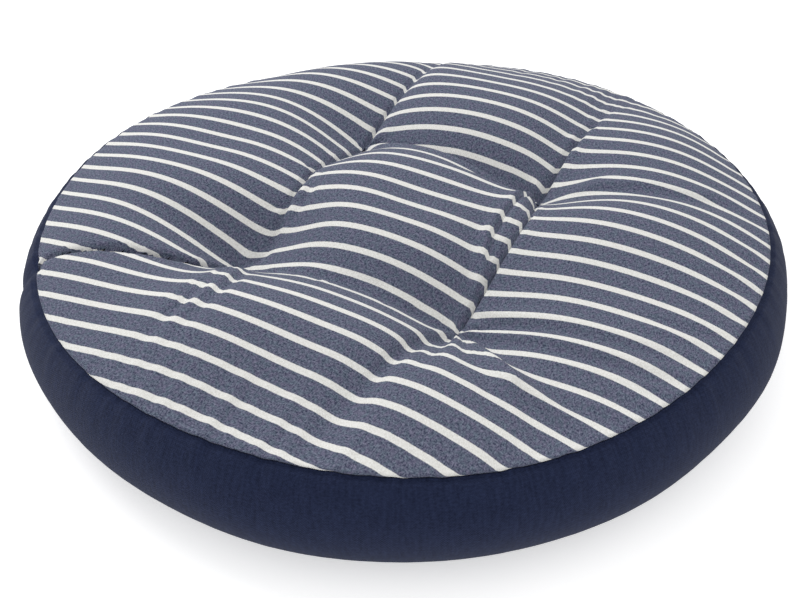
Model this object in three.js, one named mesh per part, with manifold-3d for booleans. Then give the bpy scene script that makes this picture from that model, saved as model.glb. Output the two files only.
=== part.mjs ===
// A round, boxed floor cushion with four tufts, in millimetres, +Z up, standing on z = 0, centred on the
// Z axis. It has a striped top panel, a plain side band in two strips, a plain bottom panel, one fibre
// filling, and four twine tufts that pull the top panel down to washers under the bottom panel. The
// stripes of the top panel run along X.
import * as THREE from "three";
import { mergeVertices } from "three/addons/utils/BufferGeometryUtils.js";
import Module from "manifold-3d";

// Driving dimensions.
const CUSHION_RADIUS = 300; // widest, at the middle of the side band
const TOP_SEAM_RADIUS = 281;
const BOTTOM_SEAM_RADIUS = 277;
const SEAM_HEIGHT = 82.5; // the outer face of the top panel where it is sewn to the band
const CROWN_RISE = 26; // how far the pillows of the top panel rise above its seam
const TUFT_SPACING = 184; // between neighbouring tufts, along X and along Y
const TUFT_DROP = 22; // how far a tuft lies below the top seam
const FABRIC = 1.2;
const GAP = 0.3; // clearance between touching pieces
const SEAM_ALLOWANCE = 10; // width of the edges turned in at the seams
const THREAD_RADIUS = 0.5;
const TWINE_RADIUS = 0.9;
const TWINE_HOLE_RADIUS = 1.4;
const STRAND_SPACING = 5; // between the two strands of one tuft

// Shape of the top panel: pits at the tufts, and soft grooves along the lines through them.
const CROWN_POWER = 4;
const PIT_WIDTH = 38;
const GROOVE_DEPTH = 16;
const GROOVE_WIDTH = 24;

// Shape of the underside: a shallow dimple round each tuft, flat everywhere else.
const DIMPLE_DEPTH = 14;
const DIMPLE_RADIUS = 66;
const DIMPLE_FLAT_RADIUS = 32; // the level middle of a dimple, where the washer lies
const WASHER_RADIUS = 11;
const WASHER_THICKNESS = 2;
const KNOT_RADIUS = 4.5;
const KNOT_HEIGHT = 4;

// The band's strips meet at these angles from +X, both at the back of the cushion.
const JOIN_ANGLES = [40, 165];

// The opening for the filling, closed by hand, as a stretch of the bottom seam at the back.
const CLOSING_ANGLES = [80, 120];

// Mesh fineness.
const SECTORS = 64; // a multiple of 8, so that a tuft falls on a vertex
const BAND_STEPS = 8;
const ROD_SIDES = 6;

const tuft = TUFT_SPACING / 2;
const tuftRadius = Math.hypot(tuft, tuft);
const bandBottom = FABRIC + GAP;
const bandTop = SEAM_HEIGHT - FABRIC - GAP;
const bandBulge = CUSHION_RADIUS - (TOP_SEAM_RADIUS + BOTTOM_SEAM_RADIUS) / 2;
const tufts = [
  ["back_left", -tuft, tuft],
  ["back_right", tuft, tuft],
  ["front_left", -tuft, -tuft],
  ["front_right", tuft, -tuft],
];

const wasm = await Module();
wasm.setup();

const colours = {
  stripe: new THREE.MeshStandardMaterial({ color: 0x5c6379, roughness: 0.9, metalness: 0 }),
  navy: new THREE.MeshStandardMaterial({ color: 0x262d45, roughness: 0.85, metalness: 0 }),
  fibre: new THREE.MeshStandardMaterial({ color: 0xe9e7e1, roughness: 1, metalness: 0 }),
  twine: new THREE.MeshStandardMaterial({ color: 0x3a425c, roughness: 0.8, metalness: 0 }),
  thread: new THREE.MeshStandardMaterial({ color: 0x1c2236, roughness: 0.7, metalness: 0 }),
  felt: new THREE.MeshStandardMaterial({ color: 0x2b3047, roughness: 1, metalness: 0 }),
};

// --- Booleans ------------------------------------------------------------------------------------

function toSolid(geometry) {
  const bare = geometry.clone();
  bare.deleteAttribute("normal");
  bare.deleteAttribute("uv");
  const merged = mergeVertices(bare, 1e-3);
  return new wasm.Manifold(
    new wasm.Mesh({
      numProp: 3,
      vertProperties: merged.attributes.position.array,
      triVerts: new Uint32Array(merged.index.array),
    }),
  );
}

function toGeometry(solid) {
  const mesh = solid.getMesh();
  const geometry = new THREE.BufferGeometry();
  geometry.setAttribute("position", new THREE.BufferAttribute(mesh.vertProperties, 3));
  geometry.setIndex(new THREE.BufferAttribute(mesh.triVerts, 1));
  geometry.computeVertexNormals();
  return geometry;
}

// --- Shapes of the two faces ---------------------------------------------------------------------

// How far the top panel stands above its seam.
function topLift(x, y) {
  const share = Math.min(1, Math.hypot(x, y) / TOP_SEAM_RADIUS);
  const crown = CROWN_RISE * (1 - share ** CROWN_POWER);
  const groove = (distance) => Math.exp(-((distance / GROOVE_WIDTH) ** 2));
  const grooves = Math.max(groove(Math.abs(x) - tuft), groove(Math.abs(y) - tuft));
  const fromTuft = Math.hypot(Math.abs(x) - tuft, Math.abs(y) - tuft);
  const pit = Math.exp(-((fromTuft / PIT_WIDTH) ** 2));
  const grooved = crown - GROOVE_DEPTH * grooves * (1 - share ** 2);
  return grooved + (-TUFT_DROP - grooved) * pit;
}

// How far the bottom panel stands above the floor.
function bottomLift(x, y) {
  const fromTuft = Math.hypot(Math.abs(x) - tuft, Math.abs(y) - tuft);
  return DIMPLE_DEPTH * (1 - THREE.MathUtils.smoothstep(fromTuft, DIMPLE_FLAT_RADIUS, DIMPLE_RADIUS));
}

// A solid turned about +Z from [radius, height, lift] points that run outwards along its underside and
// back along its top; a lift, where given, raises each vertex of that ring by lift(x, y). Both faces are
// cut into triangles alike, so that neighbouring layers keep their distance.
function turned(points) {
  const profile = points.map(([radius, height]) => new THREE.Vector2(radius, height));
  const geometry = new THREE.LatheGeometry(profile, SECTORS).rotateX(Math.PI / 2);
  const position = geometry.attributes.position;
  for (let i = 0; i < position.count; i++) {
    const lift = points[i % points.length][2];
    if (lift) position.setZ(i, position.getZ(i) + lift(position.getX(i), position.getY(i)));
  }
  const index = geometry.index.array;
  for (let quad = 0; quad < index.length / 6; quad++) {
    const step = quad % (points.length - 1);
    if (points[step + 1][0] >= points[step][0]) continue;
    const [a, b, d, c] = [0, 1, 2, 3].map((k) => index[6 * quad + k]);
    index.set([a, b, c, a, c, d], 6 * quad);
  }
  return geometry;
}

// Radii of the rings that each panel shares with the filling, as shares of the tufts' own distance from the
// middle, so that one ring runs through the tufts.
const topShares = [0.16, 0.34, 0.52, 0.7, 0.86, 1, 1.14, 1.3, 1.48, 1.66, 1.83, 1.96];
const bottomShares = [0.45, 0.7, 0.85, 1, 1.15, 1.3, 1.55];
const topRings = topShares.map((share) => share * tuftRadius);
const bottomRings = bottomShares.map((share) => share * tuftRadius);

// One fabric's thickness between a height and the face above it, out to a rim.
function panel(rim, height, rings, lift) {
  const radii = [0, ...rings, rim - SEAM_ALLOWANCE - GAP, rim];
  const under = radii.map((radius) => [radius, height, lift]);
  const over = radii.map((radius) => [radius, height + FABRIC, lift]);
  return turned([...under, ...over.reverse()]);
}

// --- Holes for the twine -------------------------------------------------------------------------

// An upright round post on the Z axis between two heights.
function post(radius, bottom, top, sides) {
  const cylinder = new THREE.CylinderGeometry(radius, radius, top - bottom, sides);
  return cylinder.rotateX(Math.PI / 2).translate(0, 0, (top + bottom) / 2);
}

function strandPlaces() {
  const side = STRAND_SPACING / 2;
  return tufts.flatMap(([, x, y]) => [[x - side, y], [x + side, y]]);
}

function pierced(geometry) {
  let solid = toSolid(geometry);
  for (const [x, y] of strandPlaces()) {
    const hole = post(TWINE_HOLE_RADIUS, -SEAM_HEIGHT, 2 * SEAM_HEIGHT, 8).translate(x, y, 0);
    solid = solid.subtract(toSolid(hole));
  }
  return toGeometry(solid);
}

// --- The side band -------------------------------------------------------------------------------

// A point of the band from its bottom seam (t = 0) to its top seam (t = 1), inset from its outer face.
function bandPoint(t, inset = 0) {
  const seams = THREE.MathUtils.lerp(BOTTOM_SEAM_RADIUS, TOP_SEAM_RADIUS, t);
  return [seams + 4 * bandBulge * t * (1 - t) - inset, THREE.MathUtils.lerp(bandBottom, bandTop, t)];
}

function bandRing() {
  const steps = Array.from({ length: BAND_STEPS + 1 }, (_, i) => i / BAND_STEPS);
  const outer = steps.map((t) => bandPoint(t));
  const inner = steps.slice(1, -1).reverse().map((t) => bandPoint(t, FABRIC));
  const low = bandBottom + FABRIC;
  const high = bandTop - FABRIC;
  return turned([
    [BOTTOM_SEAM_RADIUS - SEAM_ALLOWANCE, bandBottom],
    ...outer,
    [TOP_SEAM_RADIUS - SEAM_ALLOWANCE, bandTop],
    [TOP_SEAM_RADIUS - SEAM_ALLOWANCE, high],
    [TOP_SEAM_RADIUS, high],
    ...inner,
    [BOTTOM_SEAM_RADIUS, low],
    [BOTTOM_SEAM_RADIUS - SEAM_ALLOWANCE, low],
    [BOTTOM_SEAM_RADIUS - SEAM_ALLOWANCE, bandBottom],
  ]);
}

// A tall wedge about the Z axis between two angles in degrees, to cut one strip out of the ring.
function wedge(from, to) {
  const trim = GAP / 2 / CUSHION_RADIUS;
  const [start, end] = [THREE.MathUtils.degToRad(from) + trim, THREE.MathUtils.degToRad(to) - trim];
  const outline = new THREE.Shape().absarc(0, 0, CUSHION_RADIUS * 1.5, start, end, false).lineTo(0, 0);
  const height = SEAM_HEIGHT * 2;
  return new THREE.ExtrudeGeometry(outline, { depth: height, bevelEnabled: false, curveSegments: 24 });
}

function bandStrip(from, to) {
  return toGeometry(toSolid(bandRing()).intersect(toSolid(wedge(from, to))));
}

// --- Filling -------------------------------------------------------------------------------------

// Shape between the two panels and inside the band, with a neck past the turned-in edges of each seam.
function filling() {
  const floor = FABRIC + 2 * GAP;
  const ceiling = SEAM_HEIGHT - FABRIC - 2 * GAP;
  const shoulder = TOP_SEAM_RADIUS - SEAM_ALLOWANCE - GAP;
  const foot = BOTTOM_SEAM_RADIUS - SEAM_ALLOWANCE - GAP;
  const sides = [0.12, 0.25, 0.38, 0.5, 0.62, 0.75, 0.88].map((t) => bandPoint(t, FABRIC + 3 * GAP));
  return turned([
    ...[0, ...bottomRings, foot].map((radius) => [radius, floor, bottomLift]),
    [foot, bandBottom + FABRIC + GAP],
    ...sides,
    [shoulder, bandTop - FABRIC - GAP],
    ...[shoulder, ...topRings.toReversed(), 0].map((radius) => [radius, ceiling, topLift]),
  ]);
}

// --- Threads, twine and washers ------------------------------------------------------------------

const rodCorners = Array.from({ length: ROD_SIDES }, (_, i) => (2 * Math.PI * i) / ROD_SIDES);

// A round rod along a curve.
function rod(curve, radius, steps) {
  const corners = rodCorners.map((a) => new THREE.Vector2(radius * Math.cos(a), radius * Math.sin(a)));
  const section = new THREE.Shape(corners);
  return new THREE.ExtrudeGeometry(section, { steps, bevelEnabled: false, extrudePath: curve });
}

// Stitches all the way round a seam, lying in the outer corner between panel and band.
function seamRing(seamRadius, height) {
  const centre = seamRadius + GAP + 1.2 * THREAD_RADIUS;
  const corners = rodCorners.map((a) => [
    centre + THREAD_RADIUS * Math.cos(a),
    height + THREAD_RADIUS * Math.sin(a),
  ]);
  return turned([...corners, corners[0]]);
}

// The same between two angles in degrees.
function seamArc(seamRadius, height, from, to) {
  return toGeometry(toSolid(seamRing(seamRadius, height)).intersect(toSolid(wedge(from, to))));
}

// The stitches that join the band's strips, up the outer face of the band at one angle.
function joinThread(degrees) {
  const angle = THREE.MathUtils.degToRad(degrees);
  const outwards = -(GAP + 2 * THREAD_RADIUS);
  const places = [0.06, 0.2, 0.35, 0.5, 0.65, 0.8, 0.94].map((t) => {
    const [radius, height] = bandPoint(t, outwards);
    return new THREE.Vector3(radius * Math.cos(angle), radius * Math.sin(angle), height);
  });
  return rod(new THREE.CatmullRomCurve3(places), THREAD_RADIUS, 12);
}

// One tuft's twine: a bar over the top panel, two strands down through the cushion, and a knot under the
// washer.
function tuftTwine(x, y) {
  const side = STRAND_SPACING / 2;
  const barHeight = SEAM_HEIGHT - TUFT_DROP + 2 * TWINE_RADIUS + 3 * GAP;
  const knotTop = DIMPLE_DEPTH - WASHER_THICKNESS - 2 * GAP;
  const knotMiddle = knotTop - KNOT_HEIGHT / 2;
  const barEnds = [-side, side].map((dx) => new THREE.Vector3(dx, 0, barHeight));
  let twine = toSolid(rod(new THREE.LineCurve3(...barEnds), TWINE_RADIUS, 1));
  for (const dx of [-side, side]) {
    const strand = post(TWINE_RADIUS, knotMiddle, barHeight, ROD_SIDES).translate(dx, 0, 0);
    const bend = new THREE.SphereGeometry(TWINE_RADIUS * 1.1, 8, 6).translate(dx, 0, barHeight);
    twine = twine.add(toSolid(strand)).add(toSolid(bend));
  }
  const knot = toSolid(post(KNOT_RADIUS, knotTop - KNOT_HEIGHT, knotTop, 12));
  return toGeometry(twine.add(knot)).translate(x, y, 0);
}

function washer(x, y) {
  const top = DIMPLE_DEPTH - GAP;
  return pierced(post(WASHER_RADIUS, top - WASHER_THICKNESS, top, 20).translate(x, y, 0));
}

// --- Assembly ------------------------------------------------------------------------------------

const cushion = new THREE.Group();

function add(name, geometry, material) {
  const mesh = new THREE.Mesh(geometry, material);
  mesh.name = name;
  cushion.add(mesh);
}

add("top_panel", pierced(panel(TOP_SEAM_RADIUS, SEAM_HEIGHT - FABRIC, topRings, topLift)), colours.stripe);
add("bottom_panel", pierced(panel(BOTTOM_SEAM_RADIUS, 0, bottomRings, bottomLift)), colours.navy);
add("side_band_front", bandStrip(JOIN_ANGLES[1], JOIN_ANGLES[0] + 360), colours.navy);
add("side_band_back", bandStrip(...JOIN_ANGLES), colours.navy);
add("fibre_filling", pierced(filling()), colours.fibre);
add("top_seam_thread", seamRing(TOP_SEAM_RADIUS, SEAM_HEIGHT - FABRIC / 2), colours.thread);
const bottomSeam = [BOTTOM_SEAM_RADIUS, FABRIC / 2];
add("bottom_seam_thread", seamArc(...bottomSeam, CLOSING_ANGLES[1], CLOSING_ANGLES[0] + 360), colours.thread);
add("closing_seam_thread", seamArc(...bottomSeam, ...CLOSING_ANGLES), colours.thread);
add("band_join_thread_right", joinThread(JOIN_ANGLES[0]), colours.thread);
add("band_join_thread_left", joinThread(JOIN_ANGLES[1]), colours.thread);
for (const [place, x, y] of tufts) {
  add(`tuft_twine_${place}`, tuftTwine(x, y), colours.twine);
  add(`tuft_washer_${place}`, washer(x, y), colours.felt);
}

export default cushion;
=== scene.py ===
import math
from collections import namedtuple

import bpy
import numpy as np
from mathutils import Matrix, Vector
from mathutils.geometry import delaunay_2d_cdt


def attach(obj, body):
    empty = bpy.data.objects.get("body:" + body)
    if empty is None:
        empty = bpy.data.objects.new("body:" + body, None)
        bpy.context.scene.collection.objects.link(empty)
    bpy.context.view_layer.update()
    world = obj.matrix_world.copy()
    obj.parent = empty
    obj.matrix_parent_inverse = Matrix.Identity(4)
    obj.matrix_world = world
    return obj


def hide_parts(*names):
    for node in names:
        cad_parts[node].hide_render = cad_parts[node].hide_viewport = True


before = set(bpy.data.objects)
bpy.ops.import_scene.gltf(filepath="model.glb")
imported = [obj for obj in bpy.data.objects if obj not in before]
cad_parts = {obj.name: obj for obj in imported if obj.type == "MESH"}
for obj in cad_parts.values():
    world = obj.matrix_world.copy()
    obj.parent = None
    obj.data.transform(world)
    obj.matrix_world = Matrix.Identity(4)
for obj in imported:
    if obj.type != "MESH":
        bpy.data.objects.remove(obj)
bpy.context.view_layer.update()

# A round floor cushion: a striped top panel drawn down by four tufts, a navy side band and underside,
# and the filling, seam threads, twine and felt washers that hold it together.

# ---- Sizes, in millimetres ------------------------------------------------------------------------

MM = 0.001
TURN = 2 * math.pi
SEAM_RADIUS = 281.0  # top seam
BOTTOM_RADIUS = 277.0  # bottom seam
SEAM_HEIGHT = 81.5  # mean height of the top seam
BOTTOM_SEAM_HEIGHT = 2.6
BULGE = 20.5  # how far the band stands out past its seams
BULGE_POWER = 0.8
FULLEST = math.radians(-25.0)  # where the band stands out most, and by how much more
FULLER = 2.0
WIDEST_RADIUS = 300.0  # the band's radius halfway up, and its mean radius
BAND_MEAN_RADIUS = 290.0
BAND_ROWS = 34
CLOTH = 0.9  # thickness of the panels
HEM = 8.0  # width of the edges turned in at the seams
HEM_RUN = 1.6  # cloth between two neighbouring rings of points in the top panel's hem
INSIDE_COVER = 3.0  # how far the filling lies inside the cover, and over the bottom panel's face
OVER_BOTTOM = 2.5

# The top seam rises and falls a little: cosine and sine amplitudes of 1, 2, 3 and 4 waves round. The
# stitches also gather it: number of puckers round, their height, and the turn they start at.
SEAM_WAVES = [(9.5, -4.6), (1.8, 3.9), (0.2, 2.05), (2.7, -0.3)]
SEAM_PUCKERS = [(61, 0.3, 1.1), (97, 0.25, 0), (143, 0.2, 0.6)]

# Where the deep fold at the front left meets the seam, the seam is nipped in and down.
NOTCH_ANGLE = math.radians(-140.0)
NOTCH_WIDTH = math.radians(1.8)
NOTCH_IN = 3.0
NOTCH_DOWN = 5.0
BAND_FOLD_DEPTH = 1.2  # the shallow fold that runs down the band from the notch
BAND_FOLD_WIDTH = 0.022
BAND_FOLD_SLANT = 0.05

# Angles from +X, all at the back: the band's two strips meet at the first two, and the bottom seam is
# closed by hand between the last two, where the filling goes in.
JOIN_RIGHT = math.radians(40.0)
JOIN_LEFT = math.radians(165.0)
CLOSING = (math.radians(80.0), math.radians(120.0))

# ---- Top panel ------------------------------------------------------------------------------------

RIM_EASE = 1.025  # flat radius over seam radius: the rim is eased into the seam
MIDDLE_EASE = 0.06  # further slack in the middle of the cloth, for the pillows
COARSE_STEP = 6.0  # spacing of the cloth's points, in the first drape and in the last
FINE_STEP = 3.0
COARSE_ROUNDS = 800
FINE_ROUNDS = 600
DAMPING = 0.985  # share of its speed that the cloth keeps from round to round
STRIPE_PITCH = 19.15
STRIPE_WIDTH = 4.8
FIRST_STRIPE = -268.8  # the frontmost stripe's middle, along Y
PRINT_SHIFT = -11.0  # how far the stripes are off in the middle of the cloth, and their slope there
PRINT_SLOPE = -0.06
CROWN = 38.0  # how far the filling stands over the top seam
CROWN_POWER = 3.6
FILLING_GIVE = 12.0  # how far the filling is pressed in where it pushes hardest
PUSH_FALL = 1.6  # over the second half of the settling its push falls to a fifth

# Tufts as they lie in plan, and how far each is drawn down below the mean seam height.
TUFTS = {
    "back_left": (-92.4, 98.6, 22),
    "back_right": (79.5, 90.0, 19),
    "front_left": (-94.5, -92.0, 28),
    "front_right": (93.0, -86.3, 22),
}
PIT_WIDTH = 85.0  # radius of the hollow round a tuft
HOLLOW_POWER = 1.7  # how steeply hollows deepen towards their middle
HOLLOW_BLEND = 6  # how sharply one hollow gives way to the next
TUFT_REACH = 9.0  # radius of the cloth that a tuft's twine draws together
TUFT_GATHER = 0.45  # share of its width that this cloth keeps
TUFT_RISE = 0.25  # how fast it rises away from the twine
TUFT_PULL = 0.6  # how firmly the twine draws it
CREASE_SMOOTHING = 20  # rounds of smoothing that each crease's line gets
TUCK_BOTTOM = 0.6  # half the width of a tuck's bottom, and how far its lips reach, in cloth steps
TUCK_LIP = 1.6
TUCK_WALL = 1.2  # where a tuck's walls end, in cloth steps
TUCK_PAST_END = 15.0  # how far a tuck runs on past the ends of its crease
TUCK_SPREAD = 60.0  # how far to the sides the cloth taken up by a tuck is given back
SHUT_TUCK = 3.0  # a tuck this deep is drawn right shut

# Creases run through points in plan, each with its depth below the crown; a name stands for a tuft.
# "width" is that of the hollow round the crease, at its start and at its end. "pull" is how firmly it
# draws the cloth, "tuck" the depth of the narrow tuck along its bottom at the two ends, "gap" half the
# opening between the tuck's lips, and "step" how far the lip on its right stands above the other.
Crease = namedtuple("Crease", "points width pull tuck gap step", defaults=(0, (0, 0), 0, 0))
CREASES = [
    # Along the sides of the middle pillow.
    Crease(
        ["front_left", (-83, -76, 60), (-83, -56, 55), (-88, -36, 39)]
        + [(-90, -10, 33), (-93, 12, 34), (-95, 35, 38), "back_left"],
        width=(75, 75),
        pull=0.3,
        tuck=(0.5, 5),
        gap=0.9,
    ),
    Crease(
        ["front_right", (95, -48, 46), (96, -28, 37), (96, -5, 32)]
        + [(97, 13, 27), (95, 34, 28), (91, 56, 33), "back_right"],
        width=(70, 62),
        pull=0.3,
        tuck=(4, 3),
        gap=0.8,
    ),
    Crease(["back_left", (-30, 98, 38), (30, 96, 43), "back_right"], (74, 54), 0.2, (1, 1), 0.9),
    Crease(["front_left", (-30, -98, 38), (35, -95, 40), "front_right"], (80, 80), 0.25, (1, 1), 0.9),
    # From the back tufts to the seam.
    Crease(["back_left", (-92, 150, 29), (-94, 210, 8), (-94.6, 250, 2)], (85, 40), 0.3, (4, 0), 0.9),
    Crease(["back_right", (82, 150, 27), (88, 210, 14), (92, 248, 4)], (85, 40), 0.3, (4, 0), 0.9),
    # The deep fold at the front left, where one pillow lies against the next, and a short one beside it.
    Crease(
        ["front_left", (-106, -119, 42), (-137, -137, 24)]
        + [(-173, -153, 11), (-201, -167, 4), (-209, -174, 2)],
        width=(44, 20),
        pull=0.4,
        tuck=(6, 4.5),
        gap=1.1,
        step=1.5,
    ),
    Crease(
        ["front_left", (-72, -124, 28), (-76, -158, 15), (-80, -192, 8)],
        width=(30, 12),
        pull=0.15,
        tuck=(1.1, 0.7),
        gap=0.7,
    ),
    # A second fold close beside the right-hand one, which sets off a narrow strip of cloth.
    Crease(
        [(80, 67, 33), (78, 52, 25), (79, 34, 25), (79, 13, 26), (81, -5, 28), (88, -26, 33)],
        width=(30, 20),
        pull=0.25,
        tuck=(3, 2),
        gap=0.7,
        step=1.0,
    ),
    # Soft hollows and small wrinkles that fan out from the tufts.
    Crease(["back_left", (-135, 60, 14), (-180, 30, 5)], (60, 50)),
    Crease(["back_right", (150, 110, 16), (235, 110, 4)], (60, 45)),
    Crease(["back_right", (120, 104, 24), (160, 114, 12), (205, 114, 5)], (35, 20), 0.1, (1, 0.3), 0.7),
    Crease(["front_right", (78, -160, 14), (74, -205, 11), (74, -246, 5)], (40, 28)),
    Crease(["front_right", (136, -109, 14), (183, -136, 5)], (50, 40)),
    Crease(["front_right", (125, -118, 32), (155, -136, 17)], (32, 20), 0.1, (0.8, 0.4), 0.7),
]

# Places where the filling is fuller or flatter: plan, radius and height.
LUMPS = [
    (168, -40, 80, -25),
    (168, -142, 50, -15),
    (45, -218, 65, -20),
    (-185, -160, 50, 11),
    (-115, -150, 45, -14),
    (-168, 0, 50, -19),
    (-110, 208, 45, 30),
    (-165, 178, 50, 14),
    (0, 165, 55, -2),
    (170, 205, 38, 10),
    (118, 112, 42, -10),
    (-25, 114, 40, 14),
    (-70, -67, 36, -19),
    (10, 5, 60, -21),
    (70, 5, 30, -8),
]
UNEVEN = 2.6  # how far the filling bulges here and there, how often, and over what radii
UNEVEN_COUNT = 130
UNEVEN_RADII = (14, 32)
UNEVEN_REACH = 270
MAP_REACH = 300  # half the side of the filling's height map, and the size of its cells
MAP_CELL = 3.0

# ---- Underside ------------------------------------------------------------------------------------

DIMPLE_DEPTH = 14.0
DIMPLE_RADIUS = 66.0
DIMPLE_FLAT_RADIUS = 14.0
DIMPLE_PUCKER = 0.9  # height of the puckers round a dimple, and where they lie
PUCKER_RADIUS = 28
PUCKER_WIDTH = 11
UNDER_EDGE = 9  # width of the border that rises to the bottom seam
WASHER_RADIUS = 11.0
WASHER_THICKNESS = 2.0
STRAND_SPACING = 4.0
TWINE_RADIUS = 0.9
THREAD_RADIUS = 0.4
STITCH = 3.2  # length of a stitch, and how far it dips into the seam
STITCH_DIP = 0.25
HAND_STITCH = 5.0  # length of a stitch of the closing seam
KNOT_TURNS = 1.6  # turns of twine round the knot under a washer, and how far out they lie
KNOT_REACH = (2.6, 1.9)


def waves(angle):
    """Rise and fall of the top seam round the cushion."""
    return sum(a * np.cos(n * angle) + b * np.sin(n * angle) for n, (a, b) in enumerate(SEAM_WAVES, 1))


def puckers(angle):
    """Small rises and falls where the cloth is gathered by the stitches of the top seam."""
    return sum(height * np.sin(count * angle + start) for count, height, start in SEAM_PUCKERS)


def notch(angle):
    """1 where the fold at the front left meets the seam, falling to 0 on both sides."""
    turn = np.angle(np.exp(1j * (angle - NOTCH_ANGLE)))
    return np.exp(-((turn / NOTCH_WIDTH) ** 2))


def top_seam(angle):
    """Radius of the top seam, and its height over the floor."""
    height = SEAM_HEIGHT + waves(angle) + puckers(angle)
    return SEAM_RADIUS - NOTCH_IN * notch(angle), height - NOTCH_DOWN * notch(angle)


def crown(x, y):
    """Height of the filling over the mean seam height, before tufts and creases."""
    share = np.minimum(1, np.hypot(x, y) / SEAM_RADIUS)
    return CROWN * (1 - share**CROWN_POWER) + share**2 * waves(np.arctan2(y, x))


def crease_line(points, samples=60):
    """A crease as evenly spaced points in plan, with its depth below the crown at each."""
    solid = []
    for point in points:
        if isinstance(point, str):
            x, y, drop = TUFTS[point]
            point = (x, y, crown(x, y) + drop)
        solid.append(point)
    solid = np.array(solid, float)
    along = np.concatenate([[0], np.cumsum(np.linalg.norm(np.diff(solid[:, :2], axis=0), axis=1))])
    at = np.linspace(0, along[-1], samples)
    line = np.stack([np.interp(at, along, solid[:, k]) for k in range(3)], 1)
    for _ in range(CREASE_SMOOTHING):
        line[1:-1] = 0.5 * line[1:-1] + 0.25 * (line[:-2] + line[2:])
    return line


def line_frame(line):
    """Unit directions along a crease and across it, at each of its points."""
    along = np.gradient(line[:, :2], axis=0)
    along /= np.linalg.norm(along, axis=1)[:, None]
    return along, np.stack([-along[:, 1], along[:, 0]], 1)


def nearest_on(line, places):
    """The nearest point of a crease to each place, and the signed distance across it."""
    offset = places[:, None, :] - line[None, :, :2]
    nearest = np.hypot(offset[..., 0], offset[..., 1]).argmin(1)
    _, across = line_frame(line)
    away = places - line[nearest, :2]
    distance = np.hypot(away[:, 0], away[:, 1])
    side = np.einsum("ij,ij->i", away, across[nearest])
    return nearest, distance, side


def filling_map():
    """Height of the filling over the mean seam height on a square grid in plan."""
    side = np.arange(-MAP_REACH, MAP_REACH + 1, MAP_CELL)
    x, y = np.meshgrid(side, side, indexing="ij")
    places = np.stack([x.ravel(), y.ravel()], 1)
    total = np.zeros(len(places))
    hollows = []
    for px, py, drop in TUFTS.values():
        hollows.append((np.array([[px, py, crown(px, py) + drop]]), (PIT_WIDTH, PIT_WIDTH)))
    hollows += [(crease_line(crease.points), crease.width) for crease in CREASES]
    for line, widths in hollows:
        offset = places[:, None, :] - line[None, :, :2]
        distance = np.hypot(offset[..., 0], offset[..., 1])
        nearest = distance.argmin(1)
        distance = distance.min(1)
        width = np.interp(nearest / max(1, len(line) - 1), (0, 1), widths)
        total += (line[nearest, 2] * np.clip(1 - distance / width, 0, 1) ** HOLLOW_POWER) ** HOLLOW_BLEND
    height = crown(x, y) - total.reshape(x.shape) ** (1 / HOLLOW_BLEND)
    for px, py, radius, rise in LUMPS:
        height += rise * np.exp(-((np.hypot(x - px, y - py) / radius) ** 2))
    random = np.random.default_rng(7)
    for _ in range(UNEVEN_COUNT):
        px, py = random.uniform(-UNEVEN_REACH, UNEVEN_REACH, 2)
        radius = random.uniform(*UNEVEN_RADII)
        height += UNEVEN * random.uniform(-1, 1) * np.exp(-((np.hypot(x - px, y - py) / radius) ** 2))
    return side, height


# ---- Cloth ----------------------------------------------------------------------------------------


def grid_pairs(index, di, dj):
    """Pairs of grid points (i, j) and (i + di, j + dj), split so that no point is twice in one group."""
    n = index.shape[0]
    groups = []
    for part in (0, 1):
        i, j = np.meshgrid(np.arange(n), np.arange(n), indexing="ij")
        stride = max(abs(di), abs(dj))
        along = i if di else j
        keep = (along // stride) % 2 == part
        i, j = i[keep], j[keep]
        inside = (i + di < n) & (j + dj < n) & (j + dj >= 0)
        i, j = i[inside], j[inside]
        a, b = index[i, j], index[i + di, j + dj]
        real = (a >= 0) & (b >= 0)
        groups.append((a[real], b[real]))
    return groups


def coloured(pairs):
    """Any list of pairs, split so that no point is twice in one group."""
    used, groups = {}, []
    for a, b in pairs:
        taken = used.setdefault(a, set()) | used.setdefault(b, set())
        colour = next(c for c in range(len(pairs)) if c not in taken)
        used[a].add(colour)
        used[b].add(colour)
        if colour == len(groups):
            groups.append([])
        groups[colour].append((a, b))
    return [tuple(np.array(g).T) for g in groups]


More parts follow.
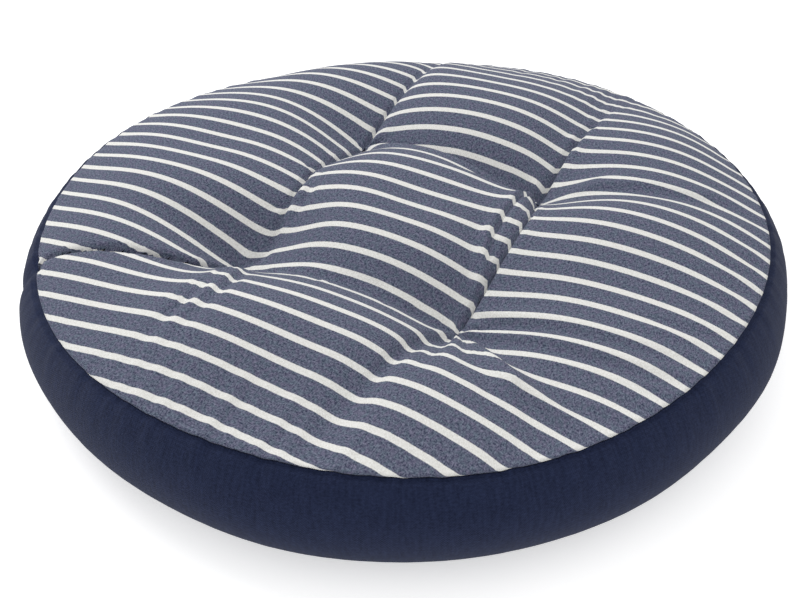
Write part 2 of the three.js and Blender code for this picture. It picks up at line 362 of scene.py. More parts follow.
class Cloth:
    """A round of woven cloth on a square grid, with a ring of points on its rim."""

    def __init__(self, radius, step):
        n = int(radius / step) + 1
        line = np.arange(-n, n + 1) * step
        u, v = np.meshgrid(line, line, indexing="ij")
        # Grid points closer to the rim than this would make slivers with the rim's own points.
        inside = np.hypot(u, v) < radius - 0.62 * step
        self.index = np.full(u.shape, -1)
        self.index[inside] = np.arange(inside.sum())
        self.line = line
        count = int(TURN * radius / step)
        self.turn = np.arange(count) * TURN / count
        rim = np.stack([radius * np.cos(self.turn), radius * np.sin(self.turn)], 1)
        self.base = np.concatenate([np.stack([u[inside], v[inside]], 1), rim])
        self.rim = np.arange(count) + inside.sum()
        self.step = step
        share = np.hypot(self.base[:, 0], self.base[:, 1]) / radius
        ease = RIM_EASE + MIDDLE_EASE * (1 - share**2)
        self.tucked = self.tuck_plan()
        self.cut = self.base * ease[:, None] + self.tucked
        found = delaunay_2d_cdt([Vector(p) for p in self.base], [], [], 0, 1e-5)
        self.triangles = np.array([f for f in found[2] if len(f) == 3])
        self.springs = self.make_springs()

    def tuck_plan(self):
        """How far the cloth taken up by the tucks moves each point of the flat cloth."""
        moved = np.zeros_like(self.base)
        for crease in CREASES:
            if not max(crease.tuck):
                continue
            line = crease_line(crease.points)
            _, across = line_frame(line)
            nearest, distance, side = nearest_on(line, self.base)
            depth = np.interp(nearest / (len(line) - 1), (0, 1), crease.tuck)
            past = np.maximum(0, distance**2 - side**2) ** 0.5
            fade = np.exp(-((past / TUCK_PAST_END) ** 2))
            reach = np.clip(side / (TUCK_WALL * self.step), -1, 1) * np.exp(-((side / TUCK_SPREAD) ** 2))
            moved += across[nearest] * (depth * fade * reach)[:, None]
        return moved

    def make_springs(self):
        """Threads, diagonals and stiffness against bending, each as (ends, length, stretch, squeeze)."""
        first_rim = self.rim[0]
        edges = set()
        for t in self.triangles:
            for a, b in ((t[0], t[1]), (t[1], t[2]), (t[2], t[0])):
                if max(a, b) >= first_rim:
                    edges.add((int(min(a, b)), int(max(a, b))))
        families = [
            (grid_pairs(self.index, 1, 0), 1.0, 0.6),
            (grid_pairs(self.index, 0, 1), 1.0, 0.6),
            (coloured(sorted(edges)), 1.0, 0.5),
            (grid_pairs(self.index, 1, 1), 0.25, 0.1),
            (grid_pairs(self.index, 1, -1), 0.25, 0.1),
            (grid_pairs(self.index, 2, 0), 0.0, 0.12),
            (grid_pairs(self.index, 0, 2), 0.0, 0.12),
        ]
        springs = []
        for groups, stretch, squeeze in families:
            for a, b in groups:
                rest = np.linalg.norm(self.cut[a] - self.cut[b], axis=1)
                springs.append((a, b, rest, stretch, squeeze))
        return springs

    def faces(self):
        """Square faces inside, triangles where the grid meets the rim."""
        i = self.index
        corners = np.stack([i[:-1, :-1], i[1:, :-1], i[1:, 1:], i[:-1, 1:]], -1)
        whole = (corners >= 0).all(-1)
        quads = corners[whole].tolist()
        cell = np.floor(self.base[self.triangles].mean(1) / self.step).astype(int) + i.shape[0] // 2
        spare = [t for t, (p, q) in zip(self.triangles.tolist(), cell) if not whole[p, q]]
        return quads + spare

    def sewn(self, x):
        """Puts the rim's points on the top seam."""
        radius, height = top_seam(self.turn)
        height = height - SEAM_HEIGHT
        x[self.rim] = np.stack([radius * np.cos(self.turn), radius * np.sin(self.turn), height], 1)
        return x


def interpolate(grid, origin, cell, places):
    """Values of a square grid at places in plan."""
    at = np.clip((places - origin) / cell, 0, grid.shape[0] - 1.001)
    i, j = at.astype(int).T
    fx, fy = (at - at.astype(int)).T
    if grid.ndim == 3:
        fx, fy = fx[:, None], fy[:, None]
    low = grid[i, j] * (1 - fx) + grid[i + 1, j] * fx
    high = grid[i, j + 1] * (1 - fx) + grid[i + 1, j + 1] * fx
    return low * (1 - fy) + high * fy


def settle(cloth, x, pulls, rounds, push, ramp):
    """Lets the cloth come to rest: stiff threads, the filling's push, and the pull of tufts and creases.

    The pulls grow to their full strength over the share "ramp" of the rounds.
    """
    index = cloth.index
    inner = index >= 0
    around = []
    for shift in ((1, 0), (-1, 0), (0, 1), (0, -1)):
        near = np.roll(index, (-shift[0], -shift[1]), (0, 1))
        near = np.where(near >= 0, near, index)
        around.append(near[inner])
    own = index[inner]
    side, filling = filling_map()
    speed = np.zeros_like(x)
    weight = np.ones(len(x))
    weight[cloth.rim] = 0
    for n in range(rounds):
        before = x.copy()
        share = n / rounds
        strength = push * (1.0 if share < 0.5 else 1.0 - PUSH_FALL * (share - 0.5))
        across = np.cross(x[around[0]] - x[around[1]], x[around[2]] - x[around[3]])
        across /= 4 * cloth.step**2
        rest = interpolate(filling, side[0], side[1] - side[0], x[own, :2])
        load = np.clip((rest - x[own, 2]) / FILLING_GIVE, -0.5, 1.0) * strength
        speed[own] += load[:, None] * across
        x = x + speed * weight[:, None]
        for a, b, rest, stretch, squeeze in cloth.springs:
            d = x[b] - x[a]
            length = np.sqrt(np.einsum("ij,ij->i", d, d)) + 1e-9
            gap = length - rest
            wa, wb = weight[a], weight[b]
            stiff = np.where(gap > 0, stretch, squeeze)
            d *= (stiff * gap / (length * np.maximum(wa + wb, 1e-9)))[:, None]
            x[a] += d * wa[:, None]
            x[b] -= d * wb[:, None]
        for points, target, tangent, pull in pulls:
            d = target - x[points]
            d -= np.einsum("ij,ij->i", d, tangent)[:, None] * tangent
            x[points] += d * (pull * min(1.0, share / ramp))
        speed = (x - before) * DAMPING
    return x


def crease_pull(cloth, crease):
    """The cloth points along a crease and where it draws them: the tuck's bottom and its two lips."""
    line = crease_line(crease.points)
    line[:, 2] = crown(line[:, 0], line[:, 1]) - line[:, 2]
    nearest, distance, side = nearest_on(line, cloth.base)
    inner = np.arange(len(cloth.base)) < cloth.rim[0]
    bottom, lip = TUCK_BOTTOM * cloth.step, TUCK_LIP * cloth.step
    depth = np.interp(nearest / (len(line) - 1), (0, 1), crease.tuck)
    reach = lip if max(crease.tuck) else bottom
    chosen = np.where((distance < reach) & inner)[0]
    at, across = nearest[chosen], side[chosen]
    _, sideways = line_frame(line)
    # The lips stand a gap apart, their cloth drawn to two fifths and the bottom's to a fifth.
    in_lip = np.abs(across) > bottom
    beside = np.sign(across) * (crease.gap + 0.4 * (np.abs(across) - bottom))
    closed = np.where(in_lip, beside, 0.2 * across)
    tucked = np.clip(depth[chosen] / SHUT_TUCK, 0, 1)
    new = tucked * closed + (1 - tucked) * across
    target = line[at].copy()
    target[:, :2] += sideways[at] * new[:, None]
    lift = crease.step * np.sin(np.pi * at / (len(line) - 1)) ** 0.5
    target[:, 2] += np.where(in_lip, np.where(across < 0, lift, 0), -depth[chosen])
    tangent = np.gradient(line, axis=0)
    tangent /= np.linalg.norm(tangent, axis=1)[:, None]
    return chosen, target, tangent[at], crease.pull


def tuft_pull(cloth, place):
    """The cloth drawn together by one tuft's twine."""
    px, py, drop = place
    middle = np.array([px, py, -drop])
    offset = cloth.base - middle[:2]
    distance = np.hypot(offset[:, 0], offset[:, 1])
    chosen = np.where(distance < TUFT_REACH)[0]
    gathered = [offset[chosen] * TUFT_GATHER, (distance[chosen] * TUFT_RISE)[:, None]]
    target = np.concatenate(gathered, 1) + middle
    return chosen, target, np.zeros_like(target), TUFT_PULL


def all_pulls(cloth):
    """What draws the cloth down: creases first, then tufts."""
    pulls = [crease_pull(cloth, crease) for crease in CREASES if crease.pull]
    return pulls + [tuft_pull(cloth, place) for place in TUFTS.values()]


def refined(coarse, x, fine):
    """The coarse drape carried over to the points of the fine cloth."""
    u, v = np.meshgrid(coarse.line, coarse.line, indexing="ij")
    angle = np.arctan2(v, u)
    radius, height = top_seam(angle)
    grid = np.stack([u, v, height - SEAM_HEIGHT], -1)
    inside = coarse.index >= 0
    grid[inside] = x[coarse.index[inside]]
    start = interpolate(grid, coarse.line[0], coarse.step, fine.base)
    return fine.sewn(start)


def drape_top():
    """The top panel's cloth at rest over the filling: the cloth, and where its points lie."""
    coarse = Cloth(SEAM_RADIUS, COARSE_STEP)
    share = np.hypot(coarse.base[:, 0], coarse.base[:, 1]) / SEAM_RADIUS
    start = np.zeros((len(coarse.base), 3))
    start[:, :2] = coarse.base
    angle = np.arctan2(coarse.base[:, 1], coarse.base[:, 0])
    # It starts as a low dome.
    start[:, 2] = 0.6 * CROWN * (1 - share**2) + share**2 * waves(angle)
    rounds = COARSE_ROUNDS
    x = settle(coarse, coarse.sewn(start), all_pulls(coarse), rounds, push=0.05, ramp=0.25)
    fine = Cloth(SEAM_RADIUS, FINE_STEP)
    x = settle(fine, refined(coarse, x, fine), all_pulls(fine), FINE_ROUNDS, push=0.025, ramp=0.05)
    return fine, x


# ---- Mesh building --------------------------------------------------------------------------------


def make_piece(name, points, faces, material):
    """A smooth-shaded mesh from points in millimetres, in place of the CAD node of the same name."""
    mesh = bpy.data.meshes.new(name)
    mesh.from_pydata((np.asarray(points) * MM).tolist(), [], faces)
    mesh.validate()
    mesh.polygons.foreach_set("use_smooth", np.full(len(mesh.polygons), True))
    mesh.materials.append(material)
    piece = bpy.data.objects.new(name, mesh)
    bpy.context.scene.collection.objects.link(piece)
    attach(piece, "root")
    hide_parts(name)
    return piece


def set_uv(piece, coordinates):
    """Gives each point its place on the flat cloth, in millimetres."""
    layer = piece.data.uv_layers.new(name="cloth")
    corners = np.zeros(len(piece.data.loops), int)
    piece.data.loops.foreach_get("vertex_index", corners)
    layer.data.foreach_set("uv", (np.asarray(coordinates)[corners] * MM).astype(np.float32).ravel())


def thicken(piece):
    """Makes a sheet as thick as the cloth, inwards from its outer face."""
    solid = piece.modifiers.new("thickness", "SOLIDIFY")
    solid.thickness = CLOTH * MM
    solid.offset = -1


def grid_faces(rows, columns, closed):
    """Quads between neighbouring rows of points, each row going round or open."""
    faces = []
    for j in range(rows - 1):
        for i in range(columns if closed else columns - 1):
            k = (i + 1) % columns
            low, high = j * columns, (j + 1) * columns
            faces.append((low + i, low + k, high + k, high + i))
    return faces


def tube(name, path, radius, material, closed=False, sides=8):
    """A round cord along a path of points."""
    path = np.asarray(path, float)
    if closed:
        along = np.roll(path, -1, 0) - np.roll(path, 1, 0)
    else:
        along = np.gradient(path, axis=0)
    along /= np.linalg.norm(along, axis=1)[:, None]
    # A direction that no path here runs along.
    up = np.array([0.12, 0.07, 1.0])
    first = np.cross(along, up)
    first /= np.linalg.norm(first, axis=1)[:, None]
    second = np.cross(along, first)
    turn = np.arange(sides) * TURN / sides
    rings = [path + radius * (first * math.cos(t) + second * math.sin(t)) for t in turn]
    points = np.stack(rings, 1).reshape(-1, 3)
    rows = len(path)
    faces = grid_faces(rows, sides, True)
    if closed:
        last = (rows - 1) * sides
        faces += [(last + i, last + (i + 1) % sides, (i + 1) % sides, i) for i in range(sides)]
    else:
        faces += [tuple(range(sides))[::-1], tuple(range((rows - 1) * sides, rows * sides))]
    piece = make_piece(name, points, faces, material)
    set_uv(piece, np.stack([np.repeat(np.arange(rows), sides) * 1.5, np.tile(np.arange(sides), rows)], 1))


# ---- Materials ------------------------------------------------------------------------------------


class Shading:
    """A node material under construction."""

    def __init__(self, name):
        self.material = bpy.data.materials.new(name)
        self.material.use_nodes = True
        self.nodes = self.material.node_tree.nodes
        self.links = self.material.node_tree.links
        self.nodes.clear()
        output = self.nodes.new("ShaderNodeOutputMaterial")
        self.shader = self.nodes.new("ShaderNodeBsdfPrincipled")
        self.links.new(self.shader.outputs[0], output.inputs[0])

    def maths(self, operation, *values, clamp=False):
        node = self.nodes.new("ShaderNodeMath")
        node.operation = operation
        node.use_clamp = clamp
        for socket, value in zip(node.inputs, values):
            if isinstance(value, (int, float)):
                socket.default_value = value
            else:
                self.links.new(value, socket)
        return node.outputs[0]

    def uv(self):
        node = self.nodes.new("ShaderNodeUVMap")
        node.uv_map = "cloth"
        split = self.nodes.new("ShaderNodeSeparateXYZ")
        self.links.new(node.outputs[0], split.inputs[0])
        return node.outputs[0], split.outputs[0], split.outputs[1]

    def noise(self, vector, stretch, detail=2.0, roughness=0.5):
        """Noise with so many features per metre along each axis."""
        scale = self.nodes.new("ShaderNodeVectorMath")
        scale.operation = "MULTIPLY"
        scale.inputs[1].default_value = stretch
        self.links.new(vector, scale.inputs[0])
        node = self.nodes.new("ShaderNodeTexNoise")
        node.inputs["Scale"].default_value = 1.0
        node.inputs["Detail"].default_value = detail
        node.inputs["Roughness"].default_value = roughness
        self.links.new(scale.outputs[0], node.inputs["Vector"])
        return node.outputs[0]

    def ramp(self, value, stops):
        node = self.nodes.new("ShaderNodeValToRGB")
        elements = node.color_ramp.elements
        while len(elements) < len(stops):
            elements.new(0.5)
        for element, (position, colour) in zip(elements, stops):
            element.position = position
            element.color = (*colour, 1)
        self.links.new(value, node.inputs[0])
        return node.outputs[0]

    def mix(self, share, first, second, blend="MIX"):
        """Two colours mixed by a share, or wholly by the blend mode where the share is None."""
        node = self.nodes.new("ShaderNodeMix")
        node.data_type = "RGBA"
        node.blend_type = blend
        if share is None:
            node.inputs[0].default_value = 1.0
        else:
            self.links.new(share, node.inputs[0])
        # The sockets for colours; the others are for single values and vectors.
        self.links.new(first, node.inputs[6])
        self.links.new(second, node.inputs[7])
        return node.outputs[2]

    def bump(self, height, distance, strength=1.0):
        node = self.nodes.new("ShaderNodeBump")
        node.inputs["Distance"].default_value = distance
        node.inputs["Strength"].default_value = strength
        self.links.new(height, node.inputs["Height"])
        self.links.new(node.outputs[0], self.shader.inputs["Normal"])

    def finish(self, colour, roughness, sheen, specular=0.2):
        self.links.new(colour, self.shader.inputs["Base Color"])
        self.shader.inputs["Roughness"].default_value = roughness
        self.shader.inputs["Sheen Weight"].default_value = sheen
        self.shader.inputs["Sheen Roughness"].default_value = 0.6
        self.shader.inputs["Specular IOR Level"].default_value = specular
        return self.material


def twill(shading, u, v, pitch):
    """Height of a twill weave: ribs that run slantwise over the warp and the weft."""
    turn = TURN / (pitch * MM)
    slant = shading.maths("SINE", shading.maths("MULTIPLY", shading.maths("ADD", u, v), turn))
    weft = shading.maths("SINE", shading.maths("MULTIPLY", u, turn * 0.5))
    return shading.maths("ADD", slant, shading.maths("MULTIPLY", weft, 0.3))


def weave(shading, u, v, pitch):
    """Height of a plain weave: warp and weft threads passing over and under each other."""
    turn = TURN / (pitch * MM)
    warp = shading.maths("SINE", shading.maths("MULTIPLY", u, turn))
    weft = shading.maths("SINE", shading.maths("MULTIPLY", v, turn))
    return shading.maths("MULTIPLY", warp, weft)


def striped_fabric():
    """Heathered blue-grey twill with woven cream stripes."""
    shading = Shading("striped_fabric")
    vector, u, v = shading.uv()
    maths = shading.maths
    # Stripes: distance across the cloth from the nearest stripe's middle.
    shifted = maths("SUBTRACT", v, (FIRST_STRIPE - STRIPE_PITCH / 2) * MM)
    phase = maths("FRACT", maths("DIVIDE", shifted, STRIPE_PITCH * MM))
    off = maths("ABSOLUTE", maths("SUBTRACT", phase, 0.5))
    ragged = maths("MULTIPLY", maths("SUBTRACT", shading.noise(vector, (900, 300, 1)), 0.5), 0.03)
    off = maths("ADD", off, ragged)
    half = STRIPE_WIDTH / STRIPE_PITCH / 2
    edge = 0.012
    white = maths("DIVIDE", maths("SUBTRACT", half + edge, off), 2 * edge, clamp=True)
    # Heather: flecks of light and dark fibre drawn out along the warp and along the weft.
    warp = shading.noise(vector, (1250, 480, 1), 1.0, 0.5)
    weft = shading.noise(vector, (520, 1100, 1), 1.0, 0.5)
    fleck = maths("MULTIPLY", maths("ADD", warp, weft), 0.5)
    ground = shading.ramp(fleck, [(0.35, (0.026, 0.033, 0.066)), (0.65, (0.174, 0.188, 0.251))])
    tint = shading.noise(vector, (260, 260, 1), 1.0, 0.5)
    cast = shading.ramp(tint, [(0.35, (0.92, 1.03, 1.0)), (0.65, (1.06, 0.97, 1.04))])
    ground = shading.mix(None, ground, cast, "MULTIPLY")
    cream = shading.ramp(fleck, [(0.3, (0.63, 0.62, 0.58)), (0.7, (0.82, 0.82, 0.80))])
    height = maths("ADD", maths("MULTIPLY", twill(shading, u, v, 2.1), 0.5), maths("MULTIPLY", fleck, 2.0))
    shading.bump(height, 0.00014, 0.6)
    return shading.finish(shading.mix(white, ground, cream), 0.92, 0.05, 0.12)


def navy_fabric():
    """Plain navy weave with faint slubs along the warp."""
    shading = Shading("navy_fabric")
    vector, u, v = shading.uv()
    slub = shading.noise(vector, (420, 70, 1), 2.0, 0.6)
    fleck = shading.noise(vector, (380, 700, 1), 1.0)
    halves = [shading.maths("MULTIPLY", grain, 0.5) for grain in (slub, fleck)]
    value = shading.maths("ADD", *halves)
    colour = shading.ramp(value, [(0.34, (0.008, 0.0125, 0.036)), (0.68, (0.0185, 0.027, 0.068))])
    height = shading.maths("ADD", weave(shading, u, v, 1.8), shading.maths("MULTIPLY", slub, 3.0))
    shading.bump(height, 0.00015, 0.6)
    return shading.finish(colour, 0.95, 0.05, 0.1)


def plain_fibre(name, dark, light, stretch, roughness=0.95):
    """Fibre, felt or thread, flecked between two colours."""
    shading = Shading(name)
    vector, _, _ = shading.uv()
    fleck = shading.noise(vector, stretch, 3.0, 0.6)
    shading.bump(fleck, 0.0003, 0.6)
    return shading.finish(shading.ramp(fleck, [(0.3, dark), (0.7, light)]), roughness, 0.15)


# ---- Pieces ---------------------------------------------------------------------------------------

# The turned-in edges of the top panel and of the band at the top seam, outwards and up from the seam
# line. The same profiles, upside down, make the bottom seam.
PANEL_HEM = [(0.25, -0.5), (0.05, -1.1), (-0.9, -1.7), (-4.4, -4.0), (-HEM, -6.4)]
BAND_HEM = [(1.3, -3.2), (0.75, -2.4), (0.05, -2.0), (-0.9, -2.1), (-4.4, -4.4), (-HEM, -6.8)]


def build_top(material):
    """The draped top panel with its turned-in edge. The stripes are laid on the flat cloth."""
    cloth, x = drape_top()
    points = [x + np.array([0, 0, SEAM_HEIGHT])]
    printed = cloth.base + cloth.tucked
    uv = [printed]
    radius, height = top_seam(cloth.turn)
    count = len(cloth.turn)
    ring = cloth.rim
    faces = cloth.faces()
    total = len(x)
    length = 0
    for out, up in PANEL_HEM:
        r = radius + out
        points.append(np.stack([r * np.cos(cloth.turn), r * np.sin(cloth.turn), height + up], 1))
        length += HEM_RUN
        uv.append(printed[cloth.rim] * (1 + length / SEAM_RADIUS))
        new = np.arange(count) + total
        total += count
        for i in range(count):
            k = (i + 1) % count
            faces.append((int(ring[i]), int(new[i]), int(new[k]), int(ring[k])))
        ring = new
    piece = make_piece("top_panel", np.concatenate(points), faces, material)
    u, v = np.concatenate(uv).T
    share = np.minimum(1, np.hypot(u, v) / SEAM_RADIUS)
    shift = (PRINT_SHIFT + PRINT_SLOPE * u) * (1 - share**4)
    set_uv(piece, np.stack([u, v + shift], 1))
    thicken(piece)
    return cloth, x


def band_radius(share, angle):
    """Radius of the band between its seams, share 0 at the bottom seam and 1 at the top."""
    top, _ = top_seam(angle)
    between = BOTTOM_RADIUS + (top - BOTTOM_RADIUS) * share
    out = BULGE * (4 * share * (1 - share)) ** BULGE_POWER
    out += FULLER * np.cos(angle - FULLEST) * 4 * share * (1 - share)
    unevenness = 0.8 * np.sin(5 * angle + 1.3) + 0.6 * np.sin(9 * angle + 4 * share)
    unevenness += 0.4 * np.sin(14 * angle + 2)
    fold = np.angle(np.exp(1j * (angle - NOTCH_ANGLE - BAND_FOLD_SLANT * (1 - share))))
    crease = BAND_FOLD_DEPTH * np.exp(-((fold / BAND_FOLD_WIDTH) ** 2)) * share**2
    return between + out + (unevenness - crease) * 4 * share * (1 - share)


def band_rows(angle):
    """Points of the band's outer face at one angle, from the lower turned-in edge to the upper one."""
    top_radius, top_height = top_seam(angle)
    low_height = BOTTOM_SEAM_HEIGHT
    rows = [(BOTTOM_RADIUS + out, low_height - up) for out, up in BAND_HEM[::-1]]
    reach = -BAND_HEM[0][1]
    # Rows lie closer together towards both seams.
    rise = np.linspace(0, 1, BAND_ROWS)
    share = (1 - np.cos(rise * math.pi)) / 2 * 0.5 + rise * 0.5
    for s in share:
        height = low_height + reach + (top_height - low_height - 2 * reach) * s
        real = (height - low_height) / (top_height - low_height)
        rows.append((band_radius(real, angle), height))
    rows += [(top_radius + out, top_height + up) for out, up in BAND_HEM]
    return np.array(rows)


def build_band(name, start, end, material):
    """One strip of the side band, its ends turned in where the strips are joined."""
    edge = 1.4 / WIDEST_RADIUS
    spacing = 2.4 / WIDEST_RADIUS
    inner = np.arange(start + edge, end - edge, spacing)
    # Columns at the turned-in ends: the angle past the end, and how far in.
    turned = [(0.02 * edge, HEM), (0.02 * edge, 1.4), (0.3 * edge, 0.4)]
    columns = [(start + a, inset) for a, inset in turned] + [(a, 0) for a in inner]
    columns += [(end - a, inset) for a, inset in turned[::-1]]
    points, uv = [], []
    for angle, inset in columns:
        rows = band_rows(angle)
        rows[:, 0] -= inset
        points.append(np.stack([rows[:, 0] * math.cos(angle), rows[:, 0] * math.sin(angle), rows[:, 1]], 1))
        along = np.concatenate([[0], np.cumsum(np.hypot(*np.diff(rows, axis=0).T))])
        uv.append(np.stack([np.full(len(rows), angle * BAND_MEAN_RADIUS), along], 1))
    count = len(points[0])
    faces = []
    for j in range(len(points) - 1):
        for i in range(count - 1):
            a = j * count + i
            faces.append((a, a + count, a + count + 1, a + 1))
    piece = make_piece(name, np.concatenate(points), faces, material)
    set_uv(piece, np.concatenate(uv))
    thicken(piece)


def underside(x, y):
    """Height of the bottom panel's outer face over the floor."""
    height = np.zeros_like(x)
    for n, (px, py, _) in enumerate(TUFTS.values()):
        away = np.hypot(x - px, y - py)
        turn = np.arctan2(y - py, x - px)
        slope = np.clip((away - DIMPLE_FLAT_RADIUS) / (DIMPLE_RADIUS - DIMPLE_FLAT_RADIUS), 0, 1)
        dip = DIMPLE_DEPTH * (0.5 + 0.5 * np.cos(slope * math.pi))
        pucker = np.sin(7 * turn + n) + 0.5 * np.sin(11 * turn + 2 * n)
        dip += DIMPLE_PUCKER * pucker * np.exp(-(((away - PUCKER_RADIUS) / PUCKER_WIDTH) ** 2))
        height = np.maximum(height, dip)
    edge = np.clip((np.hypot(x, y) - (BOTTOM_RADIUS - UNDER_EDGE)) / UNDER_EDGE, 0, 1)
    return height + BOTTOM_SEAM_HEIGHT * edge**2


def build_bottom(material):
    """The bottom panel with its turned-in edge, as rings of points from the middle out."""
    sectors = 300
    turn = np.arange(sectors) * TURN / sectors
    radii = np.concatenate([np.linspace(2, BOTTOM_RADIUS - 10, 80), BOTTOM_RADIUS - np.linspace(8.5, 0, 6)])
    rings = []
    for r in radii:
        x, y = r * np.cos(turn), r * np.sin(turn)
        rings.append(np.stack([x, y, underside(x, y)], 1))
    for out, up in PANEL_HEM:
        r = BOTTOM_RADIUS + out
        height = np.full(sectors, BOTTOM_SEAM_HEIGHT - up)
        rings.append(np.stack([r * np.cos(turn), r * np.sin(turn), height], 1))
    points = np.concatenate(rings + [[[0, 0, 0]]])
    faces = grid_faces(len(rings), sectors, True)
    centre = len(points) - 1
    faces += [((i + 1) % sectors, i, centre) for i in range(sectors)]
    piece = make_piece("bottom_panel", points, faces, material)
    set_uv(piece, points[:, :2])
    thicken(piece)


def build_filling(x, material):
    """One mass of fibre just inside the cover."""
    # The lowest point of the draped cloth in each cell of a grid, and in the cells round it.
    cell = 6.0
    size = int(2 * MAP_REACH / cell) + 1
    low = np.full((size, size), np.inf)
    i, j = np.clip(((x[:, :2] + MAP_REACH) / cell).round().astype(int), 0, size - 1).T
    np.minimum.at(low, (i, j), x[:, 2])
    for _ in range(2):
        spread = [np.roll(low, shift, axis) for shift in (1, -1) for axis in (0, 1)]
        low = np.minimum.reduce([low, *spread])
    sectors = 180
    turn = np.arange(sectors) * TURN / sectors
    top_radius, top_height = top_seam(turn)
    rings = []
    for r in np.linspace(3, SEAM_RADIUS - 12, 60):
        places = np.stack([r * np.cos(turn), r * np.sin(turn)], 1)
        height = interpolate(np.minimum(low, 60.0), -MAP_REACH, cell, places) + SEAM_HEIGHT - INSIDE_COVER
        rings.append(np.concatenate([places, height[:, None]], 1))
    for s in np.linspace(0.86, 0.14, 12):
        r = band_radius(s, turn) - INSIDE_COVER
        height = BOTTOM_SEAM_HEIGHT + (top_height - BOTTOM_SEAM_HEIGHT) * s
        rings.append(np.stack([r * np.cos(turn), r * np.sin(turn), height], 1))
    for r in np.linspace(BOTTOM_RADIUS - 12, 3, 60):
        a, b = r * np.cos(turn), r * np.sin(turn)
        rings.append(np.stack([a, b, underside(a, b) + OVER_BOTTOM], 1))
    ends = [[0, 0, rings[0][:, 2].mean()], [0, 0, rings[-1][:, 2].mean()]]
    points = np.concatenate(rings + [ends])
    faces = [f[::-1] for f in grid_faces(len(rings), sectors, True)]
    top, bottom, last = len(points) - 2, len(points) - 1, (len(rings) - 1) * sectors
    faces += [(i, (i + 1) % sectors, top) for i in range(sectors)]
    faces += [(last + (i + 1) % sectors, last + i, bottom) for i in range(sectors)]
    piece = make_piece("fibre_filling", points, faces, material)
    set_uv(piece, points[:, :2])


def seam_path(start, end, top):
    """A run of stitches in the groove of the top or bottom seam."""
    out, up = -0.9, -1.9
    angle = np.linspace(start, end, int((end - start) * SEAM_RADIUS / (STITCH / 4)) + 1)
    if top:
        radius, height = top_seam(angle)
    else:
        radius, height = np.full_like(angle, BOTTOM_RADIUS), np.full_like(angle, BOTTOM_SEAM_HEIGHT)
        up = -up
    dip = STITCH_DIP * np.cos(angle * SEAM_RADIUS / STITCH * TURN)
    r = radius + out + dip
    return np.stack([r * np.cos(angle), r * np.sin(angle), height + up], 1)


def build_threads(material):
    """The stitching of the top seam, bottom seam, closing seam and band joins, one thread each."""
    path = seam_path(0, TURN, top=True)[:-1]
    tube("top_seam_thread", path, THREAD_RADIUS, material, closed=True)
    start, end = CLOSING
    path = seam_path(end, start + TURN, top=False)
    tube("bottom_seam_thread", path, THREAD_RADIUS, material)
    # The closing seam's stitches cross from band to panel and back.
    angle = np.linspace(start, end, 400)
    swing = np.clip(1.6 * np.sin(angle * BOTTOM_RADIUS / HAND_STITCH * TURN), -1, 1)
    r = BOTTOM_RADIUS + 0.3 + 0.7 * swing
    path = np.stack([r * np.cos(angle), r * np.sin(angle), BOTTOM_SEAM_HEIGHT + 1.9 + 1.2 * swing], 1)
    tube("closing_seam_thread", path, THREAD_RADIUS, material)
    # The band's joins are sewn just inside its outer face.
    for side, angle in (("right", JOIN_RIGHT), ("left", JOIN_LEFT)):
        rows = band_rows(angle)[len(BAND_HEM) : -len(BAND_HEM)]
        r = rows[:, 0] - 1.2
        path = np.stack([r * math.cos(angle), r * math.sin(angle), rows[:, 1]], 1)
        tube(f"band_join_thread_{side}", path, THREAD_RADIUS, material)


def build_twine(name, px, py, top, material):
    """A bar of twine over the gathered cloth, two strands down, and a knot with a tail underneath."""
    half = STRAND_SPACING / 2
    knot = DIMPLE_DEPTH - WASHER_THICKNESS - 1.6
    down = np.linspace(top, knot, 24)
    arch = [(-half, top), (-0.6 * half, top + 0.7), (0.6 * half, top + 0.7), (half, top)]
    path = [(-half, z) for z in down[::-1]] + arch + [(half, z) for z in down]
    path = [(px + dx, py, z) for dx, z in path]
    turn = np.linspace(0, TURN * KNOT_TURNS, 26)
    long, short = KNOT_REACH
    coil = [(px + long * math.cos(t), py + short * math.sin(t), knot - 0.9 - 0.35 * t / 2) for t in turn]
    tail = [(px - 5 - k, py - 2 - 2.5 * k, knot - 2.6) for k in range(4)]
    tube(f"tuft_twine_{name}", path + coil + tail, TWINE_RADIUS, material)


def build_washer(name, px, py, material):
    """A round felt washer with a softened rim, set in the dimple of the bottom panel."""
    sides = 48
    around = np.arange(sides) * TURN / sides
    profile = [(0.01, 0), (9.5, 0), (10.6, 0.25), (WASHER_RADIUS, 1.0), (10.6, 1.75)]
    profile += [(9.5, WASHER_THICKNESS), (0.01, WASHER_THICKNESS)]
    rings = []
    for r, z in profile:
        height = np.full(sides, DIMPLE_DEPTH - CLOTH - WASHER_THICKNESS + z + 0.6)
        rings.append(np.stack([px + r * np.cos(around), py + r * np.sin(around), height], 1))
    points = np.concatenate(rings)
    faces = grid_faces(len(rings), sides, True)
    faces += [tuple(range(sides))[::-1], tuple(range((len(rings) - 1) * sides, len(rings) * sides))]
    washer = make_piece(f"tuft_washer_{name}", points, faces, material)
    set_uv(washer, points[:, :2] + points[:, 2:])


def build_tuft(name, place, cloth, x, twine, felt):
    """One tuft's twine and washer, at the place where its cloth came to rest."""
    near = np.hypot(*(cloth.base - np.array(place[:2])).T).argmin()
    px, py, z = x[near]
    build_twine(name, px, py, z + SEAM_HEIGHT + TWINE_RADIUS, twine)
    build_washer(name, px, py, felt)


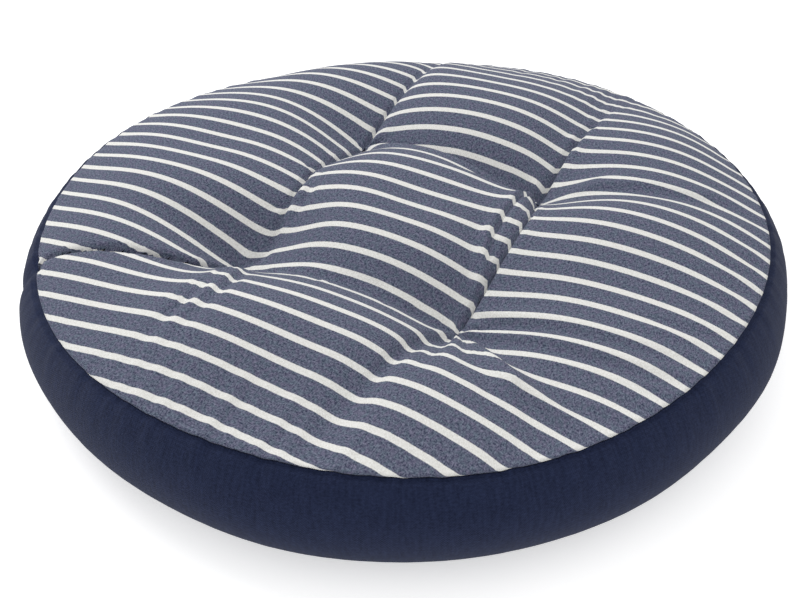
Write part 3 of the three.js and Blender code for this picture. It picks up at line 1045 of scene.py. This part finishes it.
def build_stage():
    """A plain pale floor under soft light from all round, and one large lamp to the back left."""
    shading = Shading("floor")
    shading.shader.inputs["Base Color"].default_value = (0.78, 0.78, 0.78, 1)
    shading.shader.inputs["Roughness"].default_value = 0.9
    shading.shader.inputs["Emission Color"].default_value = (1, 1, 1, 1)
    shading.shader.inputs["Emission Strength"].default_value = 0.55
    bpy.ops.mesh.primitive_plane_add(size=16, location=(0, 0, 0))
    floor = bpy.context.object
    floor.name = "floor"
    floor.data.materials.append(shading.material)
    world = bpy.data.worlds.new("studio")
    bpy.context.scene.world = world
    world.use_nodes = True
    # Brightest from above and behind.
    nodes, links = world.node_tree.nodes, world.node_tree.links
    place = nodes.new("ShaderNodeTexCoord")
    share = nodes.new("ShaderNodeVectorMath")
    share.operation = "DOT_PRODUCT"
    share.inputs[1].default_value = (-0.15, 0.35, 0.9)
    ramp = nodes.new("ShaderNodeValToRGB")
    ramp.color_ramp.elements[0].color = (0.45, 0.45, 0.46, 1)
    ramp.color_ramp.elements[1].color = (1.0, 1.0, 1.0, 1)
    links.new(place.outputs["Generated"], share.inputs[0])
    links.new(share.outputs["Value"], ramp.inputs[0])
    links.new(ramp.outputs[0], nodes["Background"].inputs[0])
    nodes["Background"].inputs[1].default_value = 1.15
    lamp = bpy.data.lights.new("key", "AREA")
    lamp.energy = 26
    lamp.size = 1.4
    light = bpy.data.objects.new("key", lamp)
    bpy.context.scene.collection.objects.link(light)
    light.location = (-1.9, 0.5, 1.7)
    light.rotation_euler = (Vector((0, 0, 0)) - light.location).to_track_quat("-Z", "Y").to_euler()


def build_camera():
    """Looks down on the cushion from its front right, at the photograph's angle."""
    data = bpy.data.cameras.new("camera")
    data.lens = 53.4
    data.sensor_width = 36
    camera = bpy.data.objects.new("camera", data)
    bpy.context.scene.collection.objects.link(camera)
    camera.location = (0.3746, -0.6856, 0.6229)
    aim = Vector((0.0526, -0.0917, 0.0815)) - camera.location
    camera.rotation_euler = aim.to_track_quat("-Z", "Y").to_euler()
    bpy.context.scene.camera = camera


# ---- The cushion ----------------------------------------------------------------------------------

striped = striped_fabric()
navy = navy_fabric()
filling = plain_fibre("filling", (0.72, 0.71, 0.68), (0.9, 0.89, 0.86), (150, 150, 150))
thread = plain_fibre("thread", (0.008, 0.012, 0.03), (0.02, 0.028, 0.06), (900, 200, 1))
twine = plain_fibre("twine", (0.03, 0.038, 0.075), (0.07, 0.085, 0.13), (900, 200, 1))
felt = plain_fibre("felt", (0.018, 0.024, 0.055), (0.05, 0.062, 0.11), (900, 900, 900), 1.0)
cloth, draped = build_top(striped)
build_band("side_band_front", JOIN_LEFT, JOIN_RIGHT + TURN, navy)
build_band("side_band_back", JOIN_RIGHT, JOIN_LEFT, navy)
build_bottom(navy)
build_filling(draped, filling)
build_threads(thread)
for tuft, place in TUFTS.items():
    build_tuft(tuft, place, cloth, draped, twine, felt)
build_stage()
build_camera()
bpy.context.scene.view_settings.view_transform = "Standard"
